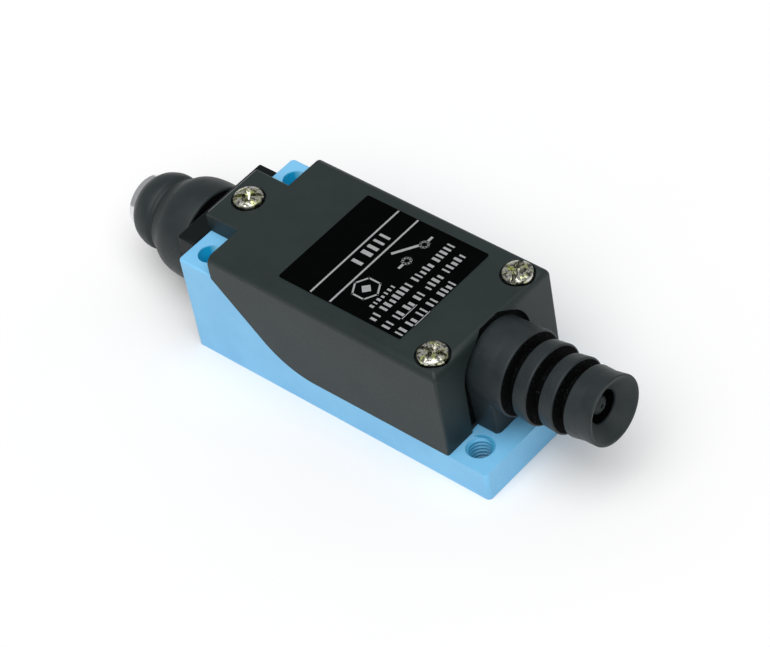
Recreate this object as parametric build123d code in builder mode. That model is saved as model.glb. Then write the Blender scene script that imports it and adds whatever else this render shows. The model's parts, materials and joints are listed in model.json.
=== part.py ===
from build123d import *
import math
import os

# Compact plunger limit switch, millimetres.
# Frame: origin at the centre of the mounting face, +X towards the plunger,
# +Z out of the cover face, the body lying along X.

os.makedirs("parts", exist_ok=True)

# ---------------------------------------------------------------- body
BODY_L = 66.6
BODY_W = 30.0
COVER_TOP = 25.0
PLATFORM_Z = 6.1
SHOULDER_Z = 20.8
CABLE_END = -BODY_L / 2
HEAD_END = BODY_L / 2
HALF_W = BODY_W / 2
EDGE_R = 0.4

# The joint line between base and cover, seen from the side:
# level, then an arc, then a ramp up to the shoulder.
COVER_BACK = CABLE_END + 8.0
NOTCH_X = HEAD_END - 7.8
RAMP_TOP = 20.2
RAMP_ANGLE = math.radians(44)
RAMP_R = 15.7
ARC_RUN = RAMP_R * math.sin(RAMP_ANGLE)
ARC_RISE = RAMP_R * (1 - math.cos(RAMP_ANGLE))
RAMP_RUN = (RAMP_TOP - PLATFORM_Z - ARC_RISE) / math.tan(RAMP_ANGLE)
RAMP_START = NOTCH_X - RAMP_RUN - ARC_RUN

# ---------------------------------------------------------------- base
BASE_WALL = 2.2
FLOOR_Z = 2.6
POCKET_BACK = COVER_BACK + BASE_WALL
POCKET_FRONT = 22.0
POCKET_HALF_W = HALF_W - BASE_WALL
RECESS_DEPTH = 1.0
RECESS_W = 17.0
RECESSES = ((4.0, 19.0), (-13.5, -3.5))
TAP_X = CABLE_END + 4.95
TAP_Y = 10.4
TAP_R = 2.5
SHOULDER_HOLE_X = HEAD_END - 4.0
SHOULDER_HOLE_Y = 11.0
SHOULDER_HOLE_R = 2.15
TAP_CHAMFER = 0.1

# ---------------------------------------------------------------- cover
COVER_WALL = 2.0
COVER_EDGE_R = 1.6
COVER_CORNER_R = 0.5
TONGUE_END = HEAD_END + 0.1
TONGUE_HALF_W = 6.6
TONGUE_EDGE_R = 0.6
REAR_SCREW_X = CABLE_END + 11.6
REAR_SCREW_Y = 11.0
HEAD_SCREW_X = HEAD_END - 4.0
SEAT_DEPTH = 1.2
SEAT_R = 3.1
COVER_HOLE_R = 1.65
THREAD_HOLE_R = 1.5
BOSS_R = 3.4
SLOT_HALF_W = 5.6
GASKET_T = 0.8
GASKET_W = 0.8
GASKET_INSET = 0.5

# ---------------------------------------------------------------- screws
SHANK_R = 1.45
HEAD_R = 2.75
HEAD_H = 2.1
HEAD_EDGE_R = 0.8
DRIVE_DEPTH = 1.0
DRIVE_SLOT_W = 0.8
DRIVE_CROSS_L = 3.4
REAR_SCREW_L = 20.0
HEAD_SCREW_L = 8.0

# ---------------------------------------------------------------- label
LABEL_X = -1.5
LABEL_Y = -0.2
LABEL_L = 27.0
LABEL_W = 23.2
LABEL_T = 0.15
LABEL_R = 0.4

# ---------------------------------------------------------------- plunger head
PLUNGER_Z = 10.4
BORE_R = 6.5
NECK_R = 6.4
FLANGE_T = 4.1
FLANGE_HALF_W = 10.8
FLANGE_BOTTOM = 0.6
FLANGE_FRONT = HEAD_END + FLANGE_T
NOSE_R = 6.0
NOSE_FRONT = FLANGE_FRONT + 6.6
BEAD_R = 5.2
BEAD_L = 1.6
SPRING_SEAT = FLANGE_FRONT + 1.6
SPRING_POCKET_R = 5.0
BUSH_R = 4.0
STEM_R = 3.0
STEM_FIT = 0.04
LOCK_GROOVE_R = 5.3
LOCK_GROOVE_HALF_L = 1.6
RING_GROOVE_X = HEAD_END - 1.3
RING_GROOVE_HALF_L = 0.85
RING_GROOVE_R = 5.0
RING_SECTION_R = 0.72

# ---------------------------------------------------------------- travel
PLUNGER_TRAVEL = 5.0
PUSHER_TRAVEL = 2.0
CARRIER_TRAVEL = 1.2

# ---------------------------------------------------------------- plunger
CAP_R = 5.0
CAP_BACK = HEAD_END + 17.9
CAP_SHOULDER = HEAD_END + 23.9
PLUNGER_TIP = HEAD_END + 26.1
LIP_GROOVE_R = 4.4
LIP_GROOVE_BACK = CAP_BACK + 2.2
LIP_GROOVE_FRONT = CAP_BACK + 3.6
STEM_END = 18.6
STEM_BORE_R = 1.7
STEM_BORE_END = 32.0
CLIP_X = POCKET_FRONT - 0.7
CLIP_T = 0.6
CLIP_R = 4.4
CLIP_GROOVE_R = 2.4
CLIP_OPENING = 3.4
PLAY = 0.05

# ---------------------------------------------------------------- plunger boot
NECK_BOOT_R = 7.2
BULGE_R = 9.4
WAIST_R = 6.8
FRONT_R = 7.1
LIP_R = 5.2
LIP_FIT = 0.15
ROLL = 1.7
RUBBER_T = 1.3
BULGE_BACK = HEAD_END + 7.0
BULGE_FRONT = HEAD_END + 12.4
WAIST_X = HEAD_END + 17.4
FRONT_X = HEAD_END + 19.6
LIP_X = HEAD_END + 23.0

# ---------------------------------------------------------------- pusher
PUSHER_R = 1.62
PUSHER_FRONT = 24.0
PUSHER_COLLAR_R = 2.6
PUSHER_COLLAR_FRONT = 15.2
PUSHER_COLLAR_BACK = 13.4
PUSHER_TIP_R = 1.4
PUSHER_TIP = 8.4

# ---------------------------------------------------------------- springs
# mean coil radius, wire radius, turns
RETURN_COIL = (4.2, 0.35, 6)
OVERTRAVEL_COIL = (1.25, 0.2, 7)
DRIVE_COIL = (1.0, 0.15, 3)
RESET_COIL = (1.6, 0.18, 4)

# ---------------------------------------------------------------- switch block
CASE_BACK = -14.8
CASE_FRONT = 11.2
CASE_HALF_W = 10.5
CASE_TOP = 17.8
CASE_WALL = 2.0
PLATE_T = 1.2
CAVITY_BACK = CASE_BACK + CASE_WALL
CAVITY_FRONT = CASE_FRONT - CASE_WALL
CAVITY_TOP = CASE_TOP - CASE_WALL
CAVITY_BOTTOM = FLOOR_Z + PLATE_T
EAR_L = 4.8
EAR_W = 5.0
EAR_H = 2.6
EAR_X = CASE_BACK - 2.7
EAR_Y = 6.1
CASE_EDGE_R = 0.5
BARRIER_H = 3.2

LEG_T = 0.8
LEG_W = 3.2
CONTACT_Y = 5.0
CONTACT_R = 1.1
CONTACT_T = 0.7
BRIDGE_T = 0.7
BRIDGE_BACK = 2.9
BRIDGE_FRONT = BRIDGE_BACK + BRIDGE_T
BRIDGE_HALF_L = 6.3
BRIDGE_HALF_H = 1.5
CONTACT_GAP = CARRIER_TRAVEL + PLAY
CLOSED_LEG_X = BRIDGE_FRONT + 2 * CONTACT_T
OPEN_LEG_X = BRIDGE_BACK - 2 * CONTACT_T - CONTACT_GAP
CARRIER_BACK = -9.0
CARRIER_FRONT = 6.4
CARRIER_HALF_W = 2.3
CARRIER_HALF_H = 2.4

PAD_T = 0.8
PAD_HALF_W = 2.9
CLOSED_SCREW_X = 8.5
OPEN_SCREW_X = -3.4
CLAMP_SIDE = 5.4
CLAMP_T = 0.8
TERMINAL_HEAD_R = 2.6
TERMINAL_HEAD_H = 1.8
TERMINAL_SHANK_END = 12.5
POST_R = 2.4
POST_BOTTOM = 11.5
EARTH_X = -17.8

# ---------------------------------------------------------------- cable boot
BOOT_Z = 16.5
BOOT_BORE_R = 3.0
COLLAR_FRONT = CABLE_END + 1.3
COLLAR_R = 7.9
COLLAR_ROOT_R = 7.5
FOOT_FRONT = CABLE_END + 4.0
FOOT_HALF_W = 6.8
FOOT_CLEAR = 0.05
COLLAR_SINK = 0.9
COLLAR_GAP = 1.15
BOOT_INNER_T = 1.5
BOOT_INNER_HALF_W = 6.4
BOOT_TIP = CABLE_END - 16.5
GROOVE_L = 2.05
GROOVE_DEPTH = 2.3
RIB_L = 3.0
RIB_RADII = (7.4, 6.9)
RIB_TAPER = 0.35
END_R = 6.4
MOUTH_DEPTH = 2.0

# at full travel the cap clears the nose, the stem clears the pusher's collar,
# and the collar clears the switch case
assert CAP_BACK - PLUNGER_TRAVEL > NOSE_FRONT
assert STEM_END - PLUNGER_TRAVEL > PUSHER_COLLAR_FRONT - PUSHER_TRAVEL
assert PUSHER_COLLAR_BACK - PUSHER_TRAVEL > CASE_FRONT


def rod(plane, centres, radius, length, mode=Mode.ADD):
    """Round bars, or round holes with Mode.SUBTRACT, standing on a plane."""
    with BuildSketch(plane) as outline:
        with Locations(*centres):
            Circle(radius)
    extrude(outline.sketch, amount=length, mode=mode)


def slab(plane, centres, length, width, height, mode=Mode.ADD):
    """Rectangular blocks, or pockets with Mode.SUBTRACT, standing on a plane."""
    with BuildSketch(plane) as outline:
        with Locations(*centres):
            Rectangle(length, width)
    extrude(outline.sketch, amount=height, mode=mode)


def span(low, high, half_width, bottom, top, mode=Mode.ADD):
    """A block from low to high along X, centred on Y, from bottom to top."""
    slab(Plane.XY.offset(bottom), [((low + high) / 2, 0)], high - low, 2 * half_width, top - bottom, mode)


def turned(points, axis_z, mode=Mode.ADD):
    """A body turned about an axis along X at height axis_z. Points are (x, radius)."""
    with BuildSketch(Plane.XZ) as profile:
        with BuildLine():
            Polyline(*[(x, axis_z + radius) for x, radius in points], close=True)
        make_face()
    revolve(profile.sketch, axis=Axis((0, 0, axis_z), (1, 0, 0)), mode=mode)


def across(x):
    """The plane across the body at x, seen from the head: local x is Y, local y is Z."""
    return Plane.YZ.offset(x)


def u_shape(half_width, bottom):
    """A round-topped arch about the boot's axis, with straight sides down to bottom."""
    with Locations((0, BOOT_Z)):
        Circle(half_width)
    with Locations((0, (BOOT_Z + bottom) / 2)):
        Rectangle(2 * half_width, BOOT_Z - bottom)


def split_line(lift=0.0):
    """The joint line between base and cover, in the X-Z plane."""
    arc_end = (RAMP_START + ARC_RUN, PLATFORM_Z + ARC_RISE + lift)
    half = RAMP_ANGLE / 2
    arc_middle = (
        RAMP_START + RAMP_R * math.sin(half),
        PLATFORM_Z + RAMP_R * (1 - math.cos(half)) + lift,
    )
    Line((COVER_BACK, PLATFORM_Z + lift), (RAMP_START, PLATFORM_Z + lift))
    ThreePointArc((RAMP_START, PLATFORM_Z + lift), arc_middle, arc_end)
    Line(arc_end, (NOTCH_X, RAMP_TOP + lift))


def coil(start, end, winding):
    """A compression spring on the plunger axis, just clear of its seats at start and end."""
    mean_r, wire_r, turns = winding
    length = end - start - 2 * (wire_r + PLAY)
    with BuildLine():
        path = Helix(
            pitch=length / turns,
            height=length,
            radius=mean_r,
            center=(start + wire_r + PLAY, 0, PLUNGER_Z),
            direction=(1, 0, 0),
        )
    with BuildSketch(Plane(origin=path @ 0, z_dir=path % 0)) as wire:
        Circle(wire_r)
    sweep(wire.sketch, path=path, is_frenet=True)


def pan_screw(x, y, seat_z, length):
    """A pan-head screw with a combined cross and slot, its head resting at seat_z."""
    rod(Plane.XY.offset(seat_z - length), [(x, y)], SHANK_R, length)
    with BuildSketch(Plane.XZ.offset(-y)) as profile:
        with BuildLine():
            top = seat_z + HEAD_H
            Polyline((x, top), (x, seat_z), (x + HEAD_R, seat_z), (x + HEAD_R, top - HEAD_EDGE_R))
            RadiusArc((x + HEAD_R, top - HEAD_EDGE_R), (x + HEAD_R - HEAD_EDGE_R, top), -HEAD_EDGE_R)
            Line((x + HEAD_R - HEAD_EDGE_R, top), (x, top))
        make_face()
    revolve(profile.sketch, axis=Axis((x, y, 0), (0, 0, 1)))
    drive = Plane.XY.offset(seat_z + HEAD_H - DRIVE_DEPTH)
    slab(drive, [(x, y)], 2 * HEAD_R, DRIVE_SLOT_W, HEAD_H, Mode.SUBTRACT)
    slab(drive, [(x, y)], DRIVE_SLOT_W, DRIVE_CROSS_L, HEAD_H, Mode.SUBTRACT)


def slotted_screw(centres, seat_z, shank_end):
    """Small slotted screws for the terminals and the switch block."""
    rod(Plane.XY.offset(shank_end), centres, SHANK_R, seat_z - shank_end)
    rod(Plane.XY.offset(seat_z), centres, TERMINAL_HEAD_R, TERMINAL_HEAD_H)
    drive = Plane.XY.offset(seat_z + TERMINAL_HEAD_H - DRIVE_DEPTH)
    slab(drive, centres, 2 * TERMINAL_HEAD_R, DRIVE_SLOT_W, DRIVE_DEPTH, Mode.SUBTRACT)


def save(builder, name):
    """Labels a finished piece and writes it under its node's name."""
    builder.part.label = name
    export_step(builder.part, f"parts/{name}.step")


# ================================================================ base housing
with BuildPart() as base_housing:
    with BuildSketch(Plane.XZ):
        with BuildLine():
            Polyline(
                (COVER_BACK, PLATFORM_Z),
                (CABLE_END, PLATFORM_Z),
                (CABLE_END, 0),
                (HEAD_END, 0),
                (HEAD_END, SHOULDER_Z),
                (NOTCH_X, SHOULDER_Z),
                (NOTCH_X, RAMP_TOP),
            )
            split_line()
        make_face()
    extrude(amount=HALF_W, both=True)
    uprights = base_housing.edges().filter_by(Axis.Z)
    ends = uprights.filter_by(lambda e: abs(abs(e.center().X) - HEAD_END) < EDGE_R)
    fillet(ends, 2 * EDGE_R)
    shoulder_top = base_housing.faces().filter_by(Axis.Z).sort_by(Axis.Z)[-1]
    rims = shoulder_top.edges().filter_by(lambda e: e.center().X > NOTCH_X + EDGE_R)
    fillet(rims, EDGE_R)

    # pocket for the switch block, with solid corners for the rear cover screws
    with BuildSketch(Plane.XY.offset(FLOOR_Z)):
        with Locations(((POCKET_BACK + POCKET_FRONT) / 2, 0)):
            Rectangle(POCKET_FRONT - POCKET_BACK, 2 * POCKET_HALF_W)
        with Locations((REAR_SCREW_X, REAR_SCREW_Y), (REAR_SCREW_X, -REAR_SCREW_Y)):
            Circle(BOSS_R, mode=Mode.SUBTRACT)
    extrude(amount=SHOULDER_Z, mode=Mode.SUBTRACT)

    # bore for the plunger guide
    rod(across(POCKET_FRONT), [(0, PLUNGER_Z)], BORE_R, HEAD_END - POCKET_FRONT, Mode.SUBTRACT)

    # mounting holes, tapped in the platform and plain in the shoulders
    taps = [(TAP_X, TAP_Y), (TAP_X, -TAP_Y)]
    rod(Plane.XY, taps, TAP_R, PLATFORM_Z, Mode.SUBTRACT)
    tap_mouths = base_housing.edges().filter_by(GeomType.CIRCLE).filter_by(
        lambda e: abs(e.radius - TAP_R) < PLAY
    )
    chamfer(tap_mouths, TAP_CHAMFER)
    plain = [(SHOULDER_HOLE_X, SHOULDER_HOLE_Y), (SHOULDER_HOLE_X, -SHOULDER_HOLE_Y)]
    rod(Plane.XY, plain, SHOULDER_HOLE_R, SHOULDER_Z, Mode.SUBTRACT)

    # tapped holes for the cover screws, the switch block and the earth screw
    rear = [(REAR_SCREW_X, REAR_SCREW_Y), (REAR_SCREW_X, -REAR_SCREW_Y)]
    rod(Plane.XY.offset(FLOOR_Z), rear, THREAD_HOLE_R, PLATFORM_Z, Mode.SUBTRACT)
    rod(Plane.XY.offset(PLUNGER_Z), [(HEAD_SCREW_X, 0)], THREAD_HOLE_R, SHOULDER_Z, Mode.SUBTRACT)
    ears = [(EAR_X, EAR_Y), (EAR_X, -EAR_Y)]
    rod(Plane.XY, ears + [(EARTH_X, 0)], THREAD_HOLE_R, FLOOR_Z, Mode.SUBTRACT)

    # two shallow recesses in the mounting face
    for low, high in RECESSES:
        span(low, high, RECESS_W / 2, 0, RECESS_DEPTH, Mode.SUBTRACT)
save(base_housing, "base_housing")

# ================================================================ gasket layer
# a layer on the joint line, cut to a ring that runs inside the walls
GASKET_BACK = COVER_BACK + GASKET_INSET
GASKET_FRONT = NOTCH_X - GASKET_INSET
GASKET_L = GASKET_FRONT - GASKET_BACK
with BuildPart() as gasket_layer:
    with BuildSketch(Plane.XZ):
        with BuildLine():
            split_line()
            Line((NOTCH_X, RAMP_TOP), (NOTCH_X, RAMP_TOP + GASKET_T))
            split_line(GASKET_T)
            Line((COVER_BACK, PLATFORM_Z), (COVER_BACK, PLATFORM_Z + GASKET_T))
        make_face()
    extrude(amount=HALF_W, both=True)
    with BuildSketch():
        with Locations(((GASKET_BACK + GASKET_FRONT) / 2, 0)):
            Rectangle(GASKET_L, BODY_W - 2 * GASKET_INSET)
            Rectangle(
                GASKET_L - 2 * GASKET_W,
                BODY_W - 2 * GASKET_INSET - 2 * GASKET_W,
                mode=Mode.SUBTRACT,
            )
    extrude(amount=COVER_TOP, mode=Mode.INTERSECT)

# ================================================================ front cover
with BuildPart() as front_cover:
    with BuildSketch(Plane.XZ):
        with BuildLine():
            split_line()
            Polyline(
                (NOTCH_X, RAMP_TOP),
                (NOTCH_X, COVER_TOP),
                (COVER_BACK, COVER_TOP),
                (COVER_BACK, PLATFORM_Z),
            )
        make_face()
    extrude(amount=HALF_W, both=True)
    rear_uprights = front_cover.edges().filter_by(Axis.Z).group_by(Axis.X)[0]
    fillet(rear_uprights, COVER_CORNER_R)
    long_edges = front_cover.faces().sort_by(Axis.Z)[-1].edges().filter_by(Axis.X)
    fillet(long_edges, COVER_EDGE_R)
    span(NOTCH_X - COVER_WALL, TONGUE_END, TONGUE_HALF_W, SHOULDER_Z, COVER_TOP)
    tongue_edges = front_cover.edges().filter_by(
        lambda e: e.center().X > NOTCH_X + TONGUE_EDGE_R and e.center().Z > COVER_TOP - EDGE_R
    )
    fillet(tongue_edges, TONGUE_EDGE_R)

    # the hollow inside, with columns left for the rear screws
    with BuildSketch():
        with Locations(((COVER_BACK + NOTCH_X) / 2, 0)):
            Rectangle(NOTCH_X - COVER_BACK - 2 * COVER_WALL, BODY_W - 2 * COVER_WALL)
        with Locations((REAR_SCREW_X, REAR_SCREW_Y), (REAR_SCREW_X, -REAR_SCREW_Y)):
            Circle(BOSS_R, mode=Mode.SUBTRACT)
    extrude(amount=COVER_TOP - COVER_WALL, mode=Mode.SUBTRACT)

    # slot in the end wall that grips the cable boot
    with BuildSketch(across(COVER_BACK)):
        u_shape(SLOT_HALF_W, 0)
    extrude(amount=COVER_WALL, mode=Mode.SUBTRACT)

    # shallow recess with a gap all round the boot's collar
    with BuildSketch(across(COVER_BACK)):
        u_shape(COLLAR_ROOT_R + COLLAR_GAP, 0)
    extrude(amount=COLLAR_SINK, mode=Mode.SUBTRACT)

    # holes and seats for the three cover screws
    screw_places = [
        (REAR_SCREW_X, REAR_SCREW_Y),
        (REAR_SCREW_X, -REAR_SCREW_Y),
        (HEAD_SCREW_X, 0),
    ]
    rod(Plane.XY, screw_places, COVER_HOLE_R, COVER_TOP, Mode.SUBTRACT)
    rod(Plane.XY.offset(COVER_TOP - SEAT_DEPTH), screw_places, SEAT_R, SEAT_DEPTH, Mode.SUBTRACT)
    add(gasket_layer.part, mode=Mode.SUBTRACT)
save(front_cover, "front_cover")

# ================================================================ cover gasket
with BuildPart() as cover_gasket:
    add(gasket_layer.part)
    # open where the cable boot stands
    span(CABLE_END, POCKET_BACK, FOOT_HALF_W + FOOT_CLEAR, 0, COVER_TOP, Mode.SUBTRACT)
save(cover_gasket, "cover_gasket")

# ================================================================ cover screws
with BuildPart() as cover_screws:
    seat_z = COVER_TOP - SEAT_DEPTH
    pan_screw(REAR_SCREW_X, REAR_SCREW_Y, seat_z, REAR_SCREW_L)
    pan_screw(REAR_SCREW_X, -REAR_SCREW_Y, seat_z, REAR_SCREW_L)
    pan_screw(HEAD_SCREW_X, 0, seat_z, HEAD_SCREW_L)
save(cover_screws, "cover_screws")

# ================================================================ rating label
with BuildPart() as rating_label:
    with BuildSketch(Plane.XY.offset(COVER_TOP)):
        with Locations((LABEL_X, LABEL_Y)):
            RectangleRounded(LABEL_L, LABEL_W, LABEL_R)
    extrude(amount=LABEL_T)
save(rating_label, "rating_label")

# ================================================================ plunger guide
with BuildPart() as plunger_guide:
    flange_h = SHOULDER_Z - FLANGE_BOTTOM
    with BuildSketch(across(HEAD_END)):
        with Locations((0, FLANGE_BOTTOM + flange_h / 2)):
            RectangleRounded(2 * FLANGE_HALF_W, flange_h, EDGE_R)
    extrude(amount=FLANGE_T)
    front_face = plunger_guide.faces().filter_by(Axis.X).sort_by(Axis.X)[-1]
    fillet(front_face.edges(), EDGE_R)
    turned(
        [
            (POCKET_FRONT, 0),
            (POCKET_FRONT, NECK_R),
            (HEAD_SCREW_X - LOCK_GROOVE_HALF_L, NECK_R),
            (HEAD_SCREW_X - LOCK_GROOVE_HALF_L, LOCK_GROOVE_R),
            (HEAD_SCREW_X + LOCK_GROOVE_HALF_L, LOCK_GROOVE_R),
            (HEAD_SCREW_X + LOCK_GROOVE_HALF_L, NECK_R),
            (RING_GROOVE_X - RING_GROOVE_HALF_L, NECK_R),
            (RING_GROOVE_X - RING_GROOVE_HALF_L, RING_GROOVE_R),
            (RING_GROOVE_X + RING_GROOVE_HALF_L, RING_GROOVE_R),
            (RING_GROOVE_X + RING_GROOVE_HALF_L, NECK_R),
            (HEAD_END, NECK_R),
            (HEAD_END, 0),
        ],
        PLUNGER_Z,
    )
    turned(
        [
            (FLANGE_FRONT, 0),
            (FLANGE_FRONT, BEAD_R),
            (FLANGE_FRONT + BEAD_L, BEAD_R),
            (FLANGE_FRONT + BEAD_L, NOSE_R),
            (NOSE_FRONT - EDGE_R, NOSE_R),
            (NOSE_FRONT, NOSE_R - EDGE_R),
            (NOSE_FRONT, 0),
        ],
        PLUNGER_Z,
    )
    rod(across(POCKET_FRONT), [(0, PLUNGER_Z)], BUSH_R, SPRING_SEAT - POCKET_FRONT, Mode.SUBTRACT)
    rod(across(SPRING_SEAT), [(0, PLUNGER_Z)], SPRING_POCKET_R, NOSE_FRONT - SPRING_SEAT, Mode.SUBTRACT)
save(plunger_guide, "plunger_guide")

# ================================================================ guide bush
with BuildPart() as guide_bush:
    rod(across(POCKET_FRONT), [(0, PLUNGER_Z)], BUSH_R, SPRING_SEAT - POCKET_FRONT)
    rod(
        across(POCKET_FRONT),
        [(0, PLUNGER_Z)],
        STEM_R + STEM_FIT,
        SPRING_SEAT - POCKET_FRONT,
        Mode.SUBTRACT,
    )
save(guide_bush, "guide_bush")

# ================================================================ guide O-ring
with BuildPart() as guide_o_ring:
    with BuildSketch(Plane.XZ):
        with Locations((RING_GROOVE_X, PLUNGER_Z + RING_GROOVE_R + RING_SECTION_R + PLAY / 2)):
            Circle(RING_SECTION_R)
    revolve(axis=Axis((0, 0, PLUNGER_Z), (1, 0, 0)))
save(guide_o_ring, "guide_o_ring")

# ================================================================ plunger
with BuildPart() as plunger:
    with BuildSketch(Plane.XZ):
        with BuildLine():
            Polyline(
                (CAP_SHOULDER, PLUNGER_Z + CAP_R),
                (LIP_GROOVE_FRONT, PLUNGER_Z + CAP_R),
                (LIP_GROOVE_FRONT, PLUNGER_Z + LIP_GROOVE_R),
                (LIP_GROOVE_BACK, PLUNGER_Z + LIP_GROOVE_R),
                (LIP_GROOVE_BACK, PLUNGER_Z + CAP_R),
                (CAP_BACK, PLUNGER_Z + CAP_R),
                (CAP_BACK, PLUNGER_Z + STEM_R),
                (CLIP_X + CLIP_T + PLAY, PLUNGER_Z + STEM_R),
                (CLIP_X + CLIP_T + PLAY, PLUNGER_Z + CLIP_GROOVE_R),
                (CLIP_X - PLAY, PLUNGER_Z + CLIP_GROOVE_R),
                (CLIP_X - PLAY, PLUNGER_Z + STEM_R),
                (STEM_END, PLUNGER_Z + STEM_R),
                (STEM_END, PLUNGER_Z + STEM_BORE_R),
                (STEM_BORE_END, PLUNGER_Z + STEM_BORE_R),
                (STEM_BORE_END, PLUNGER_Z),
                (PLUNGER_TIP, PLUNGER_Z),
            )
            dome_h = PLUNGER_TIP - CAP_SHOULDER
            dome_r = (CAP_R**2 + dome_h**2) / (2 * dome_h)
            RadiusArc((CAP_SHOULDER, PLUNGER_Z + CAP_R), (PLUNGER_TIP, PLUNGER_Z), dome_r)
        make_face()
    revolve(axis=Axis((0, 0, PLUNGER_Z), (1, 0, 0)))
save(plunger, "plunger")

# ================================================================ retaining clip
with BuildPart() as retaining_clip:
    rod(across(CLIP_X), [(0, PLUNGER_Z)], CLIP_R, CLIP_T)
    rod(across(CLIP_X), [(0, PLUNGER_Z)], CLIP_GROOVE_R + PLAY, CLIP_T, Mode.SUBTRACT)
    slab(across(CLIP_X), [(0, PLUNGER_Z - CLIP_R)], CLIP_OPENING, 2 * CLIP_R, CLIP_T, Mode.SUBTRACT)
save(retaining_clip, "retaining_clip")

# ================================================================ plunger boot
with BuildPart() as plunger_boot:
    outside = [
        (FLANGE_FRONT, NECK_BOOT_R),
        (BULGE_BACK - EDGE_R, NECK_BOOT_R),
        (BULGE_BACK, BULGE_R - EDGE_R),
        (BULGE_BACK + EDGE_R, BULGE_R),
        (BULGE_FRONT, BULGE_R),
        (BULGE_FRONT + ROLL, BULGE_R - ROLL / 2),
        (WAIST_X - ROLL / 2, WAIST_R + ROLL / 8),
        (WAIST_X, WAIST_R),
        (WAIST_X + ROLL / 2, FRONT_R - ROLL / 8),
        (FRONT_X, FRONT_R),
        (FRONT_X + ROLL, FRONT_R - ROLL / 2),
        (LIP_X - EDGE_R, LIP_R),
    ]
    lip_bead = [
        (LIP_X - RUBBER_T, CAP_R + LIP_FIT),
        (LIP_GROOVE_FRONT - PLAY, CAP_R + LIP_FIT),
        (LIP_GROOVE_FRONT - PLAY, LIP_GROOVE_R + LIP_FIT),
        (LIP_GROOVE_BACK + PLAY, LIP_GROOVE_R + LIP_FIT),
        (LIP_GROOVE_BACK + PLAY, CAP_R + 2 * LIP_FIT),
    ]
    inside = [
        (WAIST_X, CAP_R + 2 * LIP_FIT),
        (BULGE_FRONT + RUBBER_T, BULGE_R - RUBBER_T - ROLL / 2),
        (BULGE_FRONT, BULGE_R - RUBBER_T),
        (BULGE_BACK + RUBBER_T, BULGE_R - RUBBER_T),
        (BULGE_BACK + RUBBER_T, NOSE_R + LIP_FIT),
    ]
    neck_bead = [
        (FLANGE_FRONT + BEAD_L - PLAY, NOSE_R + LIP_FIT),
        (FLANGE_FRONT + BEAD_L - PLAY, BEAD_R + PLAY),
        (FLANGE_FRONT, BEAD_R + PLAY),
    ]
    turned(outside + lip_bead + inside + neck_bead, PLUNGER_Z)
save(plunger_boot, "plunger_boot")

# ================================================================ springs
with BuildPart() as return_spring:
    coil(SPRING_SEAT, CAP_BACK, RETURN_COIL)
save(return_spring, "return_spring")

with BuildPart() as overtravel_spring:
    coil(PUSHER_FRONT, STEM_BORE_END, OVERTRAVEL_COIL)
save(overtravel_spring, "overtravel_spring")

with BuildPart() as drive_spring:
    coil(CARRIER_FRONT, PUSHER_TIP, DRIVE_COIL)
save(drive_spring, "drive_spring")

with BuildPart() as reset_spring:
    coil(CAVITY_BACK, CARRIER_BACK, RESET_COIL)
save(reset_spring, "reset_spring")

# ================================================================ pusher
with BuildPart() as pusher:
    turned(
        [
            (PUSHER_TIP, 0),
            (PUSHER_TIP, PUSHER_TIP_R),
            (PUSHER_COLLAR_BACK, PUSHER_TIP_R),
            (PUSHER_COLLAR_BACK, PUSHER_COLLAR_R),
            (PUSHER_COLLAR_FRONT, PUSHER_COLLAR_R),
            (PUSHER_COLLAR_FRONT, PUSHER_R),
            (PUSHER_FRONT, PUSHER_R),
            (PUSHER_FRONT, 0),
        ],
        PLUNGER_Z,
    )
save(pusher, "pusher")

# ================================================================ switch case
CLOSED_SCREWS = [(CLOSED_SCREW_X, CONTACT_Y), (CLOSED_SCREW_X, -CONTACT_Y)]
OPEN_SCREWS = [(OPEN_SCREW_X, CONTACT_Y), (OPEN_SCREW_X, -CONTACT_Y)]
TERMINAL_PLACES = CLOSED_SCREWS + OPEN_SCREWS
with BuildPart() as switch_case:
    span(CASE_BACK, CASE_FRONT, CASE_HALF_W, CAVITY_BOTTOM, CASE_TOP)
    fillet(switch_case.edges().filter_by(Axis.Z), CASE_EDGE_R)
    ear_middles = [(CASE_BACK - EAR_L / 2, EAR_Y), (CASE_BACK - EAR_L / 2, -EAR_Y)]
    slab(Plane.XY.offset(FLOOR_Z), ear_middles, EAR_L, EAR_W, EAR_H)
    span(CAVITY_BACK, CAVITY_FRONT, CASE_HALF_W - CASE_WALL, CAVITY_BOTTOM, CAVITY_TOP, Mode.SUBTRACT)
    rod(Plane.XY.offset(POST_BOTTOM), TERMINAL_PLACES, POST_R, CASE_TOP - POST_BOTTOM)
    rod(Plane.XY.offset(POST_BOTTOM), TERMINAL_PLACES, THREAD_HOLE_R, CASE_TOP, Mode.SUBTRACT)
    # slots for the terminal legs
    for leg_x in (CLOSED_LEG_X, OPEN_LEG_X - LEG_T):
        slots = [(leg_x + LEG_T / 2, CONTACT_Y), (leg_x + LEG_T / 2, -CONTACT_Y)]
        slab(
            Plane.XY.offset(CAVITY_TOP),
            slots,
            LEG_T + 2 * PLAY,
            LEG_W + 2 * PLAY,
            CASE_WALL,
            Mode.SUBTRACT,
        )
    # hole for the pusher
    rod(across(CAVITY_FRONT), [(0, PLUNGER_Z)], PUSHER_TIP_R + PLAY, CASE_WALL, Mode.SUBTRACT)
    rod(Plane.XY, ears, COVER_HOLE_R, FLOOR_Z + EAR_H, Mode.SUBTRACT)
    # barrier between the two rows of terminals
    span(CASE_BACK + CASE_WALL, CASE_FRONT, CASE_WALL / 4, CASE_TOP, CASE_TOP + BARRIER_H)
save(switch_case, "switch_case")

# ================================================================ bottom plate
with BuildPart() as case_bottom_plate:
    span(CASE_BACK + PLAY, CASE_FRONT, CASE_HALF_W, FLOOR_Z, CAVITY_BOTTOM)
save(case_bottom_plate, "case_bottom_plate")

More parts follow.
